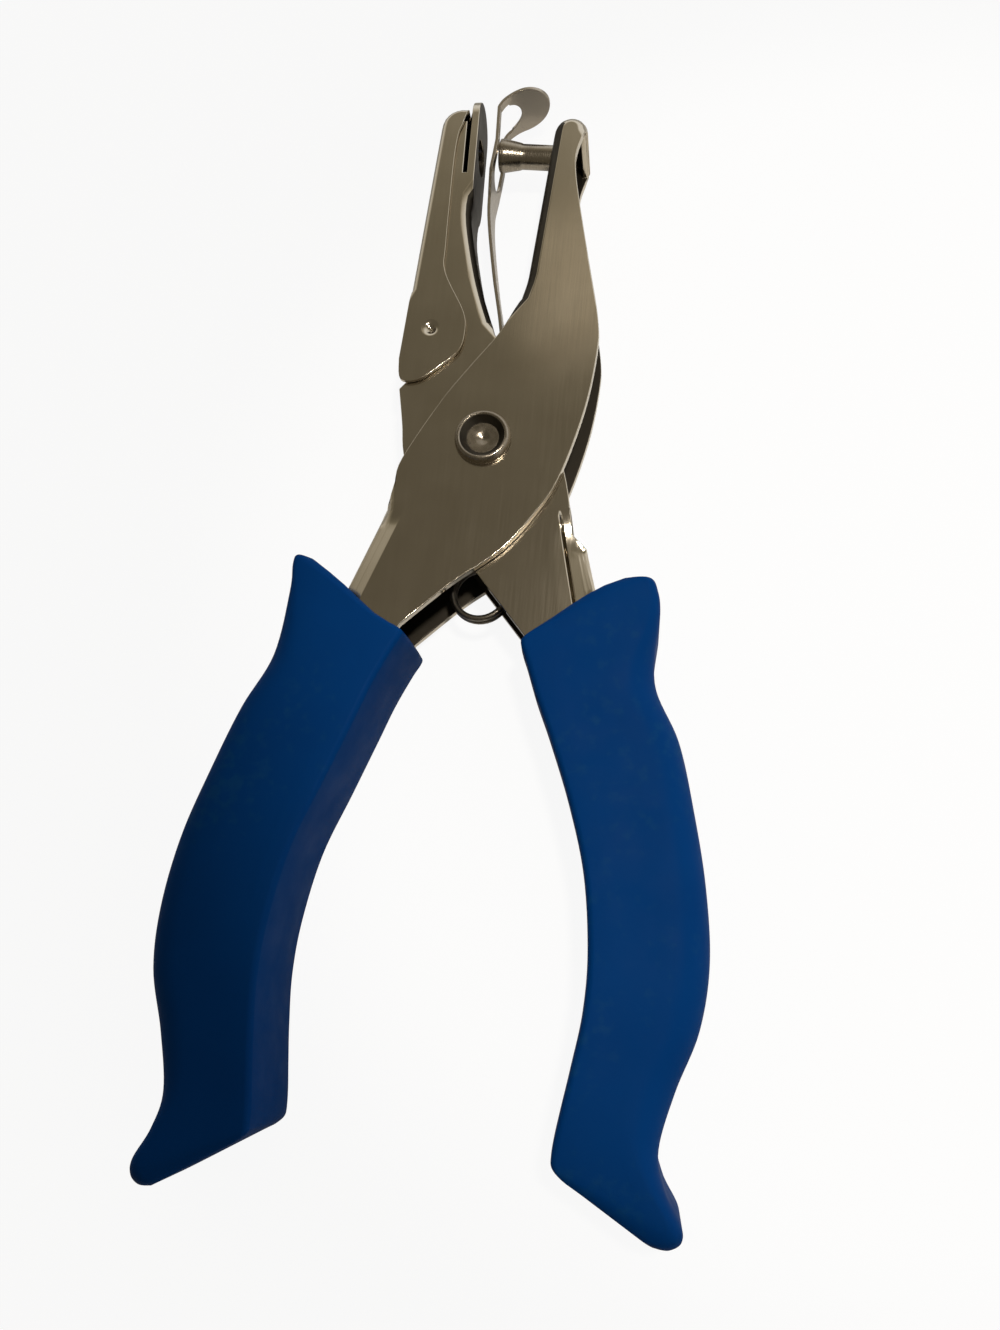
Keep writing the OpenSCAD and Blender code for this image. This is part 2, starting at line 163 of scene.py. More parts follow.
# Painted shade for the inside of a pressed channel, the faces between the jaws and the rivet's recess: dull
# and nearly black
paintedShadeLook = {
    "bright": "#4b463d", "dull": "#332f29", "spot": 4.0, "detail": 4.0,
    "roughness": (0.36, 0.55), "span": (0.0, 1.0),
}

# Cold-headed rivet steel: satin, a shade darker than the levers, with faint upset marks
headedLook = {
    "bright": "#a1988a", "dull": "#857c6e", "spot": 0.9, "detail": 3.0,
    "roughness": (0.2, 0.34), "span": (0.3, 0.7),
}

# Drawn and oiled spring wire: dark grey with a soft blotchy gloss
wireLook = {
    "bright": "#8d867b", "dull": "#55504a", "spot": 0.5, "detail": 3.0,
    "roughness": (0.22, 0.42), "span": (0.0, 1.0),
}

# Moulded rubber, smooth from the tool: satin, slightly mottled, dulled where fingers rub it
rubberLook = {
    "body": "#003874", "deep": "#003068", "mottle": 16.0, "rub": 5.0, "rubSpan": (0.3, 0.7),
    "roughness": (0.5, 0.66), "grain": 0.45, "grainHeight": 0.012, "shine": 0.03,
    "dust": "#1d4a6b", "patch": 22.0, "fleck": 1.5, "dustSpan": (0.33, 0.46), "dustAmount": 0.22,
    "refraction": 1.5, "detail": {"mottle": 3.0, "patch": 1.0, "fleck": 4.0, "rub": 5.0, "grain": 2.0},
}


def mouldedBlueRubber():
    look = rubberLook
    material, tree, shader, place = startMaterial("mouldedBlueRubber", IOR=look["refraction"],
                                                  Specular_IOR_Level=look["shine"])
    noise = {}
    for key, detail in look["detail"].items():
        pattern = addNode(tree, "TexNoise", {"Vector": place, "Scale": per(look[key]), "Detail": detail})
        noise[key] = pattern.outputs["Fac"]
    tint = addNode(tree, "Mix", {0: noise["mottle"], 6: hexLinear(look["body"]), 7: hexLinear(look["deep"])},
                   data_type="RGBA")
    # dust stays in the flecks of a few worn patches: both noises are multiplied and only the peaks are kept
    both = addNode(tree, "Math", {0: noise["patch"], 1: noise["fleck"]}, operation="MULTIPLY")
    start, end = look["dustSpan"]
    worn = addNode(tree, "MapRange", {"Value": both.outputs[0], "From Min": start, "From Max": end,
                                      "To Min": 0.0, "To Max": look["dustAmount"]})
    dusty = addNode(tree, "Mix", {0: worn.outputs["Result"], 6: tint.outputs[2], 7: hexLinear(look["dust"])},
                    data_type="RGBA")
    start, end = look["rubSpan"]
    low, high = look["roughness"]
    gloss = addNode(tree, "MapRange", {"Value": noise["rub"], "From Min": start, "From Max": end,
                                       "To Min": low, "To Max": high})
    bump = addNode(tree, "Bump", {"Height": noise["grain"], "Strength": 1.0,
                                  "Distance": look["grainHeight"] * mm})
    tree.links.new(dusty.outputs[2], shader.inputs["Base Color"])
    tree.links.new(gloss.outputs["Result"], shader.inputs["Roughness"])
    tree.links.new(bump.outputs["Normal"], shader.inputs["Normal"])
    return material


nickel = nickelPlatedSteel()
strip = linedMetal("springSteelStrip", stripLook)
toolSteel = linedMetal("turnedToolSteel", pinLook)
wire = spottedMetal("oiledSpringWire", wireLook)
# painted shade: the dark steel that the faces inside the channels, between the jaws and in the rivet's recess
# take
paintedShadeSteel = spottedMetal("steelWithPaintedShade", paintedShadeLook)
rivetSteel = spottedMetal("coldHeadedSteel", headedLook)
rubber = mouldedBlueRubber()
print("materials made")


# Mesh helpers

# points of a grid closer than seam become one, and edges shorter than sliver are dissolved
meshSpec = {"seam": 0.0005, "sliver": 0.06}


def linkMesh(name, mesh, material):
    piece = bpy.data.objects.new(name, mesh)
    bpy.context.scene.collection.objects.link(piece)
    mesh.materials.clear()
    mesh.materials.append(material)
    return piece


def gridMesh(name, grid, capEnds):
    # grid rows run along the piece and its columns close round it; flat polygons close the two ends
    rows, columns = grid.shape[:2]
    index = np.arange(rows * columns).reshape(rows, columns)
    around = np.roll(index, -1, 1)
    faces = np.stack([index[:-1], around[:-1], around[1:], index[1:]], -1).reshape(-1, 4).tolist()
    if capEnds:
        faces += [index[0].tolist(), index[-1].tolist()]
    mesh = bpy.data.meshes.new(name)
    mesh.from_pydata((grid.reshape(-1, 3) * mm).tolist(), [], faces)
    cleanMesh(mesh, meshSpec["seam"])
    return mesh


def cleanMesh(mesh, weld, flat=None):
    shape = bmesh.new()
    shape.from_mesh(mesh)
    bmesh.ops.remove_doubles(shape, verts=shape.verts, dist=weld * mm)
    if flat:
        bmesh.ops.dissolve_limit(shape, angle_limit=math.radians(flat), verts=shape.verts, edges=shape.edges)
        bmesh.ops.dissolve_degenerate(shape, dist=meshSpec["sliver"] * mm, edges=shape.edges)
    bmesh.ops.recalc_face_normals(shape, faces=shape.faces)
    shape.to_mesh(mesh)
    shape.free()


def readPoints(mesh):
    points = np.empty(3 * len(mesh.vertices))
    mesh.vertices.foreach_get("co", points)
    return points.reshape(-1, 3) / mm


def smoothBelow(mesh, angle):
    mesh.shade_smooth()
    mesh.set_sharp_from_angle(angle=math.radians(angle))


def ease(share):
    # 0 to 1 with level ends: 3 share^2 - 2 share^3
    return share * share * (3 - 2 * share)


def splineRows(points, count):
    # Catmull-Rom: each span blends its two ends and their two neighbours with cubic weights
    padded = np.vstack([points[:1], points, points[-1:]])
    t = np.linspace(0, 1, count, endpoint=False)[None, :, None]
    a, b, c, d = (padded[i:len(padded) - 3 + i, None] for i in range(4))
    bend, twist = 2 * a - 5 * b + 4 * c - d, 3 * b - a - 3 * c + d
    rows = 0.5 * (2 * b + (c - a) * t + bend * t ** 2 + twist * t ** 3)
    return np.vstack([rows.reshape(-1, points.shape[1]), points[-1:]])


# Pressed sheet pieces: the CAD solid welded, its flats joined, and its sheared edges eased

# dull is how far a face between the jaws leans towards the other jaw before it takes the painted shade
sheetPieces = {
    "punchLeverSheet": {
        "node": "punch_lever", "body": "punch_side", "slot": "lever", "edge": 0.16, "dull": 0.35,
        "material": nickel,
    },
    "dieLeverSheet": {
        "node": "die_lever", "body": "die_side", "slot": "lever", "edge": 0.16, "dull": 0.55,
        "material": nickel,
    },
    "chipCoverSheet": {
        "node": "chip_cover", "body": "cover", "slot": "cover", "edge": 0.1, "material": nickel,
    },
    "stripperLeafStrip": {
        "node": "stripper_leaf", "body": "stripper", "slot": "leaf", "edge": 0.08, "material": strip,
    },
}

# points closer than weld and join become one, before and after the edges are eased; flat, bevelAngle and
# smoothAngle are in degrees; a flange's normal is upright by flatTilt or more; jaws start above the crossing
sheetEasing = {
    "weld": 0.002, "flat": 0.4, "bevelAngle": 38, "smoothAngle": 32, "segments": 2, "join": 0.002,
    "flatTilt": 0.8, "jawStart": 19.0, "cutSnap": 0.0001,
}

# beside the web of each neck the bend is pressed flat into a sloping strip: across gives (share of the width
# from the edge, share of the height kept), which undoes the round bend; the die neck has a groove in it
neckRolls = {
    "punchLeverSheet": {
        "from": (-13.7, -13.15), "to": (-20.0, -31.7), "side": -1, "width": 3.0, "lead": 3.0,
        "across": ((0.0, 0.98), (0.1, 0.908), (0.24, 0.867), (0.42, 0.866), (0.53, 0.882), (0.8, 0.95),
                   (0.94, 0.988), (1.0, 1.0)),
    },
    "dieLeverSheet": {
        "from": (16.0, -15.0), "to": (20.0, -31.7), "side": 1, "width": 5.4, "lead": 5.0,
        "across": ((0.0, 0.83), (0.02, 0.818), (0.1, 0.76), (0.185, 0.746), (0.26, 0.755), (0.46, 0.825),
                   (0.5, 0.84), (0.525, 0.5), (0.555, 0.5), (0.58, 0.93), (0.62, 0.955), (0.8, 0.975),
                   (1.0, 1.0)),
    },
}
# where the neck is cut crosswise, as shares of the lead
rollCuts = (-1.2, -1.0, -0.75, -0.5, -0.25, 0.0, 0.3, 1.2)


def rollNeck(mesh, spec):
    # height above the mid-plane times the share for the distance from the edge, faded in along the neck
    start, end = np.array(spec["from"]), np.array(spec["to"])
    along = (end - start) / np.linalg.norm(end - start)
    inward = spec["side"] * np.array([along[1], -along[0]])
    shares, heights = np.array(spec["across"]).T
    shape = bmesh.new()
    shape.from_mesh(mesh)
    foot = Vector((*(start + rollCuts[0] * spec["lead"] * along + pivot[:2]) * mm, 0))
    down = Vector((*along, 0))
    cuts = [(along, share * spec["lead"]) for share in rollCuts]
    cuts += [(inward, share * spec["width"]) for share in shares]
    for direction, reach in cuts:
        # only the neck is cut lengthwise, so the lever's flat above it stays one face
        faces = [f for f in shape.faces
                 if direction is along or (f.calc_center_median() - foot).dot(down) > 0]
        edges = list(dict.fromkeys(e for f in faces for e in f.edges))
        corners = list(dict.fromkeys(v for f in faces for v in f.verts))
        place = (start + reach * direction + pivot[:2]) * mm
        bmesh.ops.bisect_plane(shape, geom=corners + edges + faces, dist=sheetEasing["cutSnap"] * mm,
                               plane_co=(*place, 0), plane_no=(*direction, 0))
    shape.to_mesh(mesh)
    shape.free()
    points = readPoints(mesh)
    flat = points[:, :2] - pivot[:2] - start
    curve = np.interp(flat @ inward / spec["width"], shares, heights)
    fade = ease(np.clip(flat @ along / spec["lead"] + 1, 0, 1))
    points[:, 2] = pivot[2] + (points[:, 2] - pivot[2]) * (1 - fade * (1 - curve))
    mesh.vertices.foreach_set("co", (points * mm).ravel())


def paintShadeInside(piece, side, dull):
    # painted shade: the dark steel goes on the faces of the two flanges that look at each other, where normal
    # and height have opposite signs, and on the faces of the jaws that look at each other, above the crossing
    mesh = piece.data
    mesh.materials.append(paintedShadeSteel)
    normals, centres = np.empty(3 * len(mesh.polygons)), np.empty(3 * len(mesh.polygons))
    mesh.polygons.foreach_get("normal", normals)
    mesh.polygons.foreach_get("center", centres)
    tilt, height = normals[2::3], centres[2::3] / mm - pivot[2]
    inside = (tilt * height < 0) & (np.abs(tilt) > sheetEasing["flatTilt"])
    above = centres[1::3] / mm - pivot[1] > sheetEasing["jawStart"]
    inside |= (normals[0::3] * side > dull) & above
    mesh.polygons.foreach_set("material_index", inside.astype(np.int32))


# the rims of the cover's hinge dimples: how far out they are looked for, how much wider they get, and how far
# under the outer face they still count
dimpleSpec = {"reach": 1.3, "widen": 1.38, "skin": 0.05}


def widenDimples(mesh):
    # each point of the dimples' rims on the outer faces: hinge + widen * its distance from the hinge
    points = readPoints(mesh)
    away = points[:, :2] - joints["cover_swing"][:2]
    height = np.abs(points[:, 2] - pivot[2])
    rim = (np.linalg.norm(away, axis=1) < dimpleSpec["reach"]) & (height > height.max() - dimpleSpec["skin"])
    points[rim, :2] += (dimpleSpec["widen"] - 1) * away[rim]
    mesh.vertices.foreach_set("co", (points * mm).ravel())


def pressedPiece(name, spec):
    mesh = nodes[spec["node"]].data.copy()
    mesh.name = name
    if "custom_normal" in mesh.attributes:
        mesh.attributes.remove(mesh.attributes["custom_normal"])
    cleanMesh(mesh, sheetEasing["weld"], sheetEasing["flat"])
    if name in neckRolls:
        rollNeck(mesh, neckRolls[name])
    if spec["slot"] == "cover":
        widenDimples(mesh)
    smoothBelow(mesh, sheetEasing["smoothAngle"])
    piece = linkMesh(name, mesh, spec["material"])
    if name in neckRolls:
        # painted shade on the inside faces of the channel and on the jaws' facing flanks
        paintShadeInside(piece, neckRolls[name]["side"], spec["dull"])
    bevel = piece.modifiers.new("easedEdge", "BEVEL")
    bevel.width = spec["edge"] * mm
    bevel.segments = sheetEasing["segments"]
    bevel.limit_method = "ANGLE"
    bevel.angle_limit = math.radians(sheetEasing["bevelAngle"])
    bevel.use_clamp_overlap = False
    bevel.harden_normals = True
    joined = piece.modifiers.new("joinedCorners", "WELD")
    joined.merge_threshold = sheetEasing["join"] * mm
    weighted = piece.modifiers.new("evenShading", "WEIGHTED_NORMAL")
    weighted.keep_sharp = True
    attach(piece, spec["body"])
    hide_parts(spec["node"])


for pieceName, pieceSpec in sheetPieces.items():
    pressedPiece(pieceName, pieceSpec)
print("pressed sheet pieces made")


# Grips: a rounded box section carried along stations, with a shallow mouth for the lever

gripSpec = {
    "height": 15.5, "length": 81.0, "hornDrop": 20.4, "rows": 8, "cornerSteps": 8, "smooth": 35,
    # the pocket round the lever: where it ends across the mouth and its height for each side, and its depth
    "pocket": {-1: (0.02, 0.61, 11.8), 1: (0.02, 0.68, 9.1)}, "pocketDepth": 5.0, "pocketRadius": 0.6,
    # the inner side swells at mid-height
    "swell": 0.35, "flatSteps": 5, "rimFade": 3.5,
    # how far the rim bows, with the powers of the share from the inner and from the outer end
    "rimBow": {-1: (-0.8, 1, 4), 1: (1.0, 2, 1)},
    # inner point, outer point (x, share of the length), inner and outer edge radius, inset
    "stations": [
        (9.2, 0.106, 23.6, -0.006, 0.8, 1.2, 0.8),
        (8.7, 0.116, 25.3, -0.004, 0.8, 1.2, 0.1),
        (8.8, 0.128, 26.2, 0.014, 0.8, 1.3, 0.0),
        (9.6, 0.152, 26.8, 0.055, 0.8, 2.0, 0.0),
        (11.4, 0.210, 26.7, 0.165, 0.8, 4.5, 0.0),
        (13.7, 0.275, 30.4, 0.262, 0.8, 4.5, 0.0),
        (16.9, 0.375, 32.8, 0.370, 0.8, 4.5, 0.0),
        (19.6, 0.485, 34.8, 0.485, 0.8, 4.5, 0.0),
        (20.9, 0.600, 35.8, 0.600, 0.8, 4.5, 0.0),
        (20.9, 0.690, 35.0, 0.700, 0.8, 4.5, 0.0),
        (20.0, 0.770, 32.5, 0.790, 0.8, 4.5, 0.0),
        (19.2, 0.830, 30.9, 0.870, 0.8, 3.5, 0.0),
        (18.7, 0.870, 31.8, 0.920, 0.8, 2.5, 0.0),
        (18.5, 0.898, 33.9, 0.962, 0.8, 2.2, 0.0),
        (18.7, 0.910, 34.2, 0.985, 0.8, 2.4, 0.1),
        (19.3, 0.919, 33.3, 1.000, 0.8, 2.6, 0.5),
        (19.9, 0.923, 32.2, 1.004, 0.8, 2.6, 1.0),
    ],
    # the left sleeve is pushed on a little differently: how far its points move at each station
    "leftInner": (-1.0, -1.0, -0.9, -0.7, -0.5, -1.0, -1.4, -1.0, -0.7, -0.4, -0.1, 0, 0, 0, -0.1, -0.1,
                  -0.1),
    "leftOuter": (-0.5, -0.9, -1.4, -2.0, -0.3, -0.6, -0.2, 0.3, 0.4, 0.7, 0.7, 0.2, -0.3, -0.8, -1, -0.8,
                  -0.8),
    # how far its horn stands up, and how far its end reaches down inside and outside from toeStart on
    "leftHorn": 0.6, "hornStations": 3, "leftToe": (0.7, 1.4), "toeStart": 0.75,
}


def boxRing(x0, x1, z0, z1, inner, outer):
    # a box section whose corner arcs are centre + radius * (cos, sin) over a quarter turn
    centreX = np.stack([x0 + inner, x0 + inner, x1 - outer, x1 - outer], 1)
    centreZ = np.stack([z0 + inner, z1 - inner, z1 - outer, z0 + outer], 1)
    radius = np.stack([inner, inner, outer, outer], 1)
    turn = np.radians(np.array([270, 180, 90, 0])[:, None] - np.linspace(0, 90, gripSpec["cornerSteps"] + 1))
    corners = np.stack([centreX[:, :, None] + radius[:, :, None] * np.cos(turn),
                        centreZ[:, :, None] + radius[:, :, None] * np.sin(turn)], -1)
    share = np.linspace(0, 1, gripSpec["flatSteps"] + 1)[1:-1, None]
    flats = (1 - share) * corners[:, :, -1:] + share * np.roll(corners, -1, 1)[:, :, :1]
    ring = np.concatenate([corners, flats], 2).reshape(len(corners), -1, 2)
    return ring[..., 0], ring[..., 1]


def gripGrid(side):
    # rows of box sections from station to station, with the pocket's mouth and floor in front of them
    spec = gripSpec
    stations = np.array(spec["stations"])
    if side < 0:
        toe = np.clip((stations[:, 3] - spec["toeStart"]) / (1 - spec["toeStart"]), 0, 1)
        stations[:, 0] += spec["leftInner"]
        stations[:, 2] += spec["leftOuter"]
        stations[:, [1, 3]] += toe[:, None] * np.array(spec["leftToe"]) / spec["length"]
        stations[:spec["hornStations"], 3] -= spec["leftHorn"] / spec["length"]
    stations[:, [1, 3]] = -spec["hornDrop"] - stations[:, [1, 3]] * spec["length"]
    rows = splineRows(stations, spec["rows"])
    a, b = rows[:, 0:2], rows[:, 2:4]
    width = np.linalg.norm(b - a, axis=1)
    inner, outer, inset = rows[:, 4], rows[:, 5], np.maximum(rows[:, 6], 0)
    across, up = boxRing(0 * width, width, 0 * width, 0 * width + spec["height"], inner, outer)
    across = inset[:, None] + across * (1 - 2 * inset / width)[:, None]
    up = inset[:, None] + up * (1 - 2 * inset / spec["height"])[:, None]
    level = up / spec["height"]
    across -= spec["swell"] * 4 * level * (1 - level) * (1 - across / width[:, None]) ** 2
    near, far, tall = spec["pocket"][side]
    mid, corner = np.full(2, spec["height"] / 2), np.full(2, spec["pocketRadius"])
    rim = width[[0, 0]]
    mouth, mouthUp = boxRing(near * rim, far * rim, mid - tall / 2, mid + tall / 2, corner, corner)
    across, up = np.vstack([mouth, across]), np.vstack([mouthUp, up])
    unit = (b - a) / width[:, None]
    unit, a, width = np.vstack([unit[[0, 0]], unit]), np.vstack([a[[0, 0]], a]), np.append(rim, width)
    outward = np.stack([-unit[:, 1], unit[:, 0]], 1)
    a[0] -= spec["pocketDepth"] * outward[0]
    # the bow is a power of the share across times a power of the rest, 1 at its peak, and fades along
    share = np.clip(across / width[:, None], 0, 1)
    fade = ease(np.clip(1 - (np.arange(len(a)) - len(rim)) / (spec["rimFade"] * spec["rows"]), 0, 1))
    fade[0] = 0
    most, rise, fall = spec["rimBow"][side]
    peak = rise ** rise * fall ** fall / (rise + fall) ** (rise + fall)
    bow = most / peak * fade[:, None] * share ** rise * (1 - share) ** fall
    flat = a[:, None] + across[:, :, None] * unit[:, None] + bow[:, :, None] * outward[:, None]
    flat[..., 0] *= side
    return np.concatenate([flat + pivot[:2], up[:, :, None]], 2)


for pieceName, side, body, node in (("leftGripSleeve", -1, "punch_side", "left_grip"),
                                    ("rightGripSleeve", 1, "die_side", "right_grip")):
    mesh = gridMesh(pieceName, gripGrid(side), True)
    smoothBelow(mesh, gripSpec["smooth"])
    sleeve = linkMesh(pieceName, mesh, rubber)
    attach(sleeve, body)
    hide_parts(node)
print("grips made")


# Return spring: a tube round a path of two legs and a coil, bent between the two levers

springSpec = {
    "wire": 0.9, "radius": 4.0, "pitch": 1.4, "turns": 2, "centre": (1.2, -21.4), "legDrop": 18.0,
    "legs": (15.6, 14.3), "legRings": 12, "ringsPerTurn": 40, "sides": 14, "smooth": 50,
}


def springPath():
    # the coil is (r cos a, r sin a) with height falling in step with a; each leg leaves it along the tangent
    spec = springSpec
    drop = math.radians(spec["legDrop"])
    sweep = 2 * math.pi * spec["turns"] + 2 * drop
    count = int(spec["ringsPerTurn"] * sweep / (2 * math.pi))
    share = np.linspace(0, 1, count + 1)
    a = math.pi / 2 + drop - sweep * share
    rise = spec["pitch"] * sweep / (2 * math.pi)
    centreX, centreY = spec["centre"]
    coil = np.stack([centreX + spec["radius"] * np.cos(a), centreY + spec["radius"] * np.sin(a),
                     rise * (0.5 - share)], 1)
    legSteps = np.linspace(1, 0, spec["legRings"], endpoint=False)[:, None]
    left = coil[0] + legSteps * spec["legs"][0] * np.array([-math.cos(drop), -math.sin(drop), 0])
    right = coil[-1] + legSteps[::-1] * spec["legs"][1] * np.array([math.cos(drop), -math.sin(drop), 0])
    return np.vstack([left, coil, right]) + pivot


def tubeGrid(path, radius, sides):
    # a circle in the plane of the path's sideways and upward normals, at every point of the path
    along = np.gradient(path, axis=0)
    along /= np.linalg.norm(along, axis=1)[:, None]
    sideways = np.cross([0.0, 0.0, 1.0], along)
    sideways /= np.linalg.norm(sideways, axis=1)[:, None]
    upward = np.cross(along, sideways)
    a = np.linspace(0, 2 * math.pi, sides, endpoint=False)[None, :, None]
    return path[:, None] + radius * (np.cos(a) * sideways[:, None] + np.sin(a) * upward[:, None])


mesh = gridMesh("returnSpringWire", tubeGrid(springPath(), springSpec["wire"] / 2, springSpec["sides"]), True)
smoothBelow(mesh, springSpec["smooth"])
springPiece = linkMesh("returnSpringWire", mesh, wire)
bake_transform(springPiece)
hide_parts("return_spring")
print("spring made")


# Rivet and pin: profiles turned round their axes

rivetSpec = {
    "channel": 11.5, "shank": 5.0, "ring": 8.1, "ringHeight": 1.4, "head": 9.0, "headHeight": 1.9,
    "steps": 96, "rows": 6, "gap": 0.02, "smooth": 40, "recess": (0.57, 0.8),
    # the pit at the middle, the floor and the rolled ring, and the lower head: shares of radius and of height
    "pit": -0.1, "floor": ((0.1, -0.02), (0.24, 0.14), (0.3, 0.17)),
    "crown": ((0.56, 0.2), (0.6, 0.24), (0.72, 0.62), (0.81, 0.94), (0.87, 1.0), (0.94, 0.86), (1.0, 0.4)),
    "dome": ((1.0, 0.3), (0.84, 0.78), (0.5, 0.98)),
}
pinSpec = {
    "end": 5.0, "shank": 3.8, "reach": 9.0, "land": 0.8, "taper": 2.8, "sheet": 1.2, "gap": 0.02,
    "tip": (7.95, 53.7), "tipRadius": 2.6, "drop": -1.0, "tilt": 3.5, "steps": 72, "smooth": 30,
    # chamfer of the riveted end, start of the taper (radius gained, share of the taper left), eased land and
    # cutting edge (off the radius, off the height), and depth of the hollow cutting end
    "chamfer": 0.2, "swell": (0.12, 0.9), "landEase": (0.03, 0.1), "edgeEase": (0.05, 0.04), "hollow": 0.5,
}


def turnedGrid(profile, origin, axis, steps):
    # each profile point (radius, height) goes round the axis: origin + height axis + radius (cos u + sin v)
    axis = np.array(axis) / np.linalg.norm(axis)
    u = np.cross([0.0, 1.0, 0.0], axis)
    u /= np.linalg.norm(u)
    v = np.cross(axis, u)
    a = np.linspace(0, 2 * math.pi, steps, endpoint=False)
    ring = np.cos(a)[:, None] * u + np.sin(a)[:, None] * v
    return np.array(origin) + profile[:, 1, None, None] * axis + profile[:, 0, None, None] * ring[None]


def rivetProfile():
    # (radius, height) from the pit over the rolled ring, down the shank and round the lower head
    spec = rivetSpec
    h, gap, shank = spec["channel"] / 2, spec["gap"], spec["shank"] / 2
    ring = np.array([spec["ring"] / 2, spec["ringHeight"]])
    head = np.array([spec["head"] / 2, -spec["headHeight"]])
    above, below = np.array([0, h]), np.array([0, -h])
    floor = np.vstack([[gap, h + spec["pit"] * ring[1]], above + ring * np.array(spec["floor"])])
    crown = np.vstack([above + ring * np.array(spec["crown"]), [ring[0], h + gap]])
    dome = np.vstack([[head[0], -h - gap], below + head * np.array(spec["dome"]), [gap, -h + head[1]]])
    return np.vstack([floor, splineRows(crown, spec["rows"]), [[shank, h], [shank, -h]],
                      splineRows(dome, spec["rows"])])


def paintRecessShade(mesh):
    # painted shade on the slope inside the rolled ring: faces above the channel whose radius lies in the
    # recess
    low, high = (share * rivetSpec["ring"] / 2 for share in rivetSpec["recess"])
    mesh.materials.append(paintedShadeSteel)
    centres = np.empty(3 * len(mesh.polygons))
    mesh.polygons.foreach_get("center", centres)
    centres = centres.reshape(-1, 3) / mm - pivot
    radius = np.linalg.norm(centres[:, :2], axis=1)
    recessShade = (centres[:, 2] > rivetSpec["channel"] / 2) & (radius > low) & (radius < high)
    mesh.polygons.foreach_set("material_index", recessShade.astype(np.int32))


def pinProfile():
    # (radius, height) from the riveted end along the shank and the taper to the land and the hollow end
    spec = pinSpec
    end, shank, reach, gap = spec["end"] / 2, spec["shank"] / 2, spec["reach"], spec["gap"]
    sheet, chamfer, taper, land = spec["sheet"], spec["chamfer"], spec["taper"], spec["reach"] - spec["land"]
    gain, left = spec["swell"]
    landIn, landDown = spec["landEase"]
    edgeIn, edgeDown = spec["edgeEase"]
    return np.array([
        [gap, -sheet], [shank - chamfer, -sheet], [shank, chamfer - sheet], [shank, reach / 2],
        [shank, land - taper], [shank + gain, land - left * taper], [end - landIn, land - landDown],
        [end, land], [end, reach - edgeDown], [end - edgeIn, reach], [gap, reach - spec["hollow"]]])


mesh = gridMesh("pivotRivetRing", turnedGrid(rivetProfile(), pivot, (0, 0, 1), rivetSpec["steps"]), True)
smoothBelow(mesh, rivetSpec["smooth"])
rivetPiece = linkMesh("pivotRivetRing", mesh, rivetSteel)
# painted shade in the recess inside the rolled ring
paintRecessShade(mesh)
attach(rivetPiece, "punch_side")
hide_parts("pivot_rivet")

tilt = math.radians(pinSpec["tilt"])
pinLocal = np.array([-pinSpec["tipRadius"], pinSpec["drop"]])
pinTurn = np.array([[math.cos(tilt), math.sin(tilt)], [-math.sin(tilt), math.cos(tilt)]])
pinBase = np.append(np.array(pinSpec["tip"]) + pinTurn @ pinLocal, 0) + pivot
pinAxis = np.append(pinTurn @ np.array([-1, 0]), 0)
mesh = gridMesh("punchPinTurned", turnedGrid(pinProfile(), pinBase, pinAxis, pinSpec["steps"]), True)
smoothBelow(mesh, pinSpec["smooth"])
pinPiece = linkMesh("punchPinTurned", mesh, toolSteel)
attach(pinPiece, "punch_side")
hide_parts("punch_pin")
print("rivet and pin made")


# Floor, light and camera

stageSpec = {
    "floor": "#f4f4f2", "floorSize": 12000, "floorRoughness": 0.8, "floorGlow": 0.92, "mirrorGlow": 0.15,
    # the sky brightens from the far left overhead towards this direction
    "window": (0.30, 0.55, -0.78),
    "sky": ((-0.56, "#6c6659"), (-0.44, "#746e60"), (-0.34, "#7c7667"), (-0.28, "#8c8574"),
            (-0.05, "#d8d2c6"), (0.2, "#ffffff")),
    # the key has barn doors: an even pool with a soft edge that leaves the left handle's end in shade
    "key": {
        "place": (76, 6, 300), "aim": (66, 4, 8), "size": 30, "power": 2.25, "beam": 40, "edge": 0.28,
        "colour": "#fff8ef",
    },
    "fill": {
        "place": (300, -180, 140), "aim": (-20, -50, 8), "size": 200, "power": 0.065, "colour": "#f4f7ff",
    },
    "back": {
        "place": (-26, 330, 418), "aim": (12, 38, 8), "size": 75, "power": 0.006, "colour": "#fff1dc",
    },
}

mesh = bpy.data.meshes.new("floor")
half = stageSpec["floorSize"] / 2 * mm
mesh.from_pydata([(-half, -half, 0), (half, -half, 0), (half, half, 0), (-half, half, 0)], [], [(0, 1, 2, 3)])
card, tree, shader, place = startMaterial("paleCard", Roughness=stageSpec["floorRoughness"])
shader.inputs["Base Color"].default_value = hexLinear(stageSpec["floor"])
path = addNode(tree, "LightPath").outputs
mirrored = addNode(tree, "Math", {0: path["Is Glossy Ray"], 1: stageSpec["mirrorGlow"]}, operation="MULTIPLY")
share = addNode(tree, "Math", {0: path["Is Camera Ray"], 1: stageSpec["floorGlow"], 2: mirrored.outputs[0]},
                operation="MULTIPLY_ADD")
glow = addNode(tree, "Emission", {"Color": (1, 1, 1, 1), "Strength": 1.0})
mixed = addNode(tree, "MixShader", {0: share.outputs[0], 1: shader.outputs[0], 2: glow.outputs[0]})
tree.links.new(mixed.outputs[0], tree.nodes["Material Output"].inputs["Surface"])
linkMesh("floor", mesh, card)

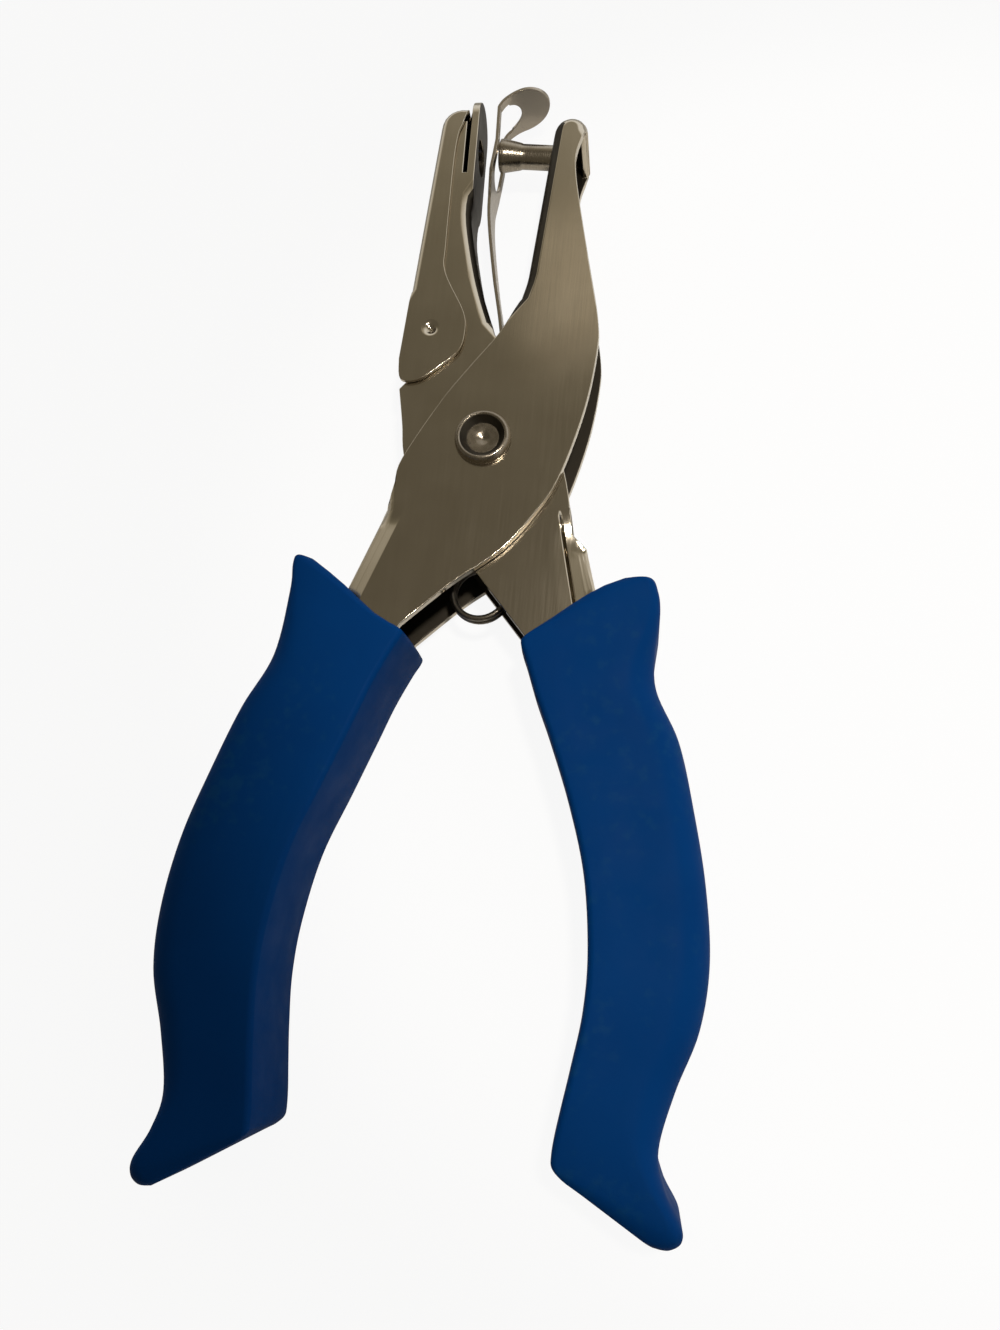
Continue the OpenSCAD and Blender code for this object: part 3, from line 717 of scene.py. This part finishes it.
world = bpy.data.worlds.new("studio")
bpy.context.scene.world = world
world.use_nodes = True
tree = world.node_tree
direction = addNode(tree, "TexCoord").outputs["Generated"]
toWindow = addNode(tree, "VectorMath", {0: direction, 1: stageSpec["window"]}, operation="DOT_PRODUCT")
height = addNode(tree, "MapRange", {"Value": toWindow.outputs["Value"], "From Min": -1.0, "From Max": 1.0})
ramp = addNode(tree, "ValToRGB", {0: height.outputs["Result"]})
for position, _ in stageSpec["sky"][1:-1]:
    ramp.color_ramp.elements.new((position + 1) / 2)
for element, (position, code) in zip(ramp.color_ramp.elements, stageSpec["sky"]):
    element.position = (position + 1) / 2
    element.color = hexLinear(code)
seen = addNode(tree, "LightPath").outputs["Is Camera Ray"]
sky = addNode(tree, "Mix", {0: seen, 6: ramp.outputs["Color"], 7: (1, 1, 1, 1)}, data_type="RGBA")
tree.links.new(sky.outputs[2], tree.nodes["Background"].inputs["Color"])


def addLamp(name, spec):
    if "beam" in spec:
        lamp = bpy.data.lights.new(name, "SPOT")
        lamp.spot_size = math.radians(spec["beam"])
        lamp.spot_blend = spec["edge"]
        lamp.shadow_soft_size = spec["size"] / 2 * mm
    else:
        lamp = bpy.data.lights.new(name, "AREA")
        lamp.size = spec["size"] * mm
    lamp.energy = spec["power"]
    lamp.color = hexLinear(spec["colour"])[:3]
    holder = bpy.data.objects.new(name, lamp)
    holder.location = Vector(spec["place"]) * mm
    holder.rotation_euler = (Vector(spec["aim"]) - Vector(spec["place"])).to_track_quat("-Z", "Y").to_euler()
    bpy.context.scene.collection.objects.link(holder)


addLamp("keyLamp", stageSpec["key"])
addLamp("fillSoftbox", stageSpec["fill"])
addLamp("backPanel", stageSpec["back"])

# the camera fitted to the photo: its place from the pivot's foot, and its focal length in pixels of the frame
cameraSpec = {
    "place": (26.88, -69.19, 148.5), "forward": (-0.148, 0.254, -0.956), "right": (0.987, 0.104, -0.125),
    "focal": 1050, "frameHeight": 1330, "sensor": 36, "clipStart": 10,
}
lens = bpy.data.cameras.new("photoCamera")
lens.sensor_width = cameraSpec["sensor"]
lens.lens = cameraSpec["focal"] * cameraSpec["sensor"] / cameraSpec["frameHeight"]
lens.clip_start = cameraSpec["clipStart"] * mm
viewer = bpy.data.objects.new("photoCamera", lens)
forward = Vector(cameraSpec["forward"]).normalized()
right = Vector(cameraSpec["right"])
right = (right - forward * right.dot(forward)).normalized()
turn = Matrix((right, right.cross(forward), -forward)).transposed().to_4x4()
station = Vector(cameraSpec["place"]) + Vector((0, pivot[1], 0))
viewer.matrix_world = Matrix.Translation(station * mm) @ turn
bpy.context.scene.collection.objects.link(viewer)
bpy.context.scene.camera = viewer
bpy.context.scene.view_settings.view_transform = "Standard"
print("stage set")
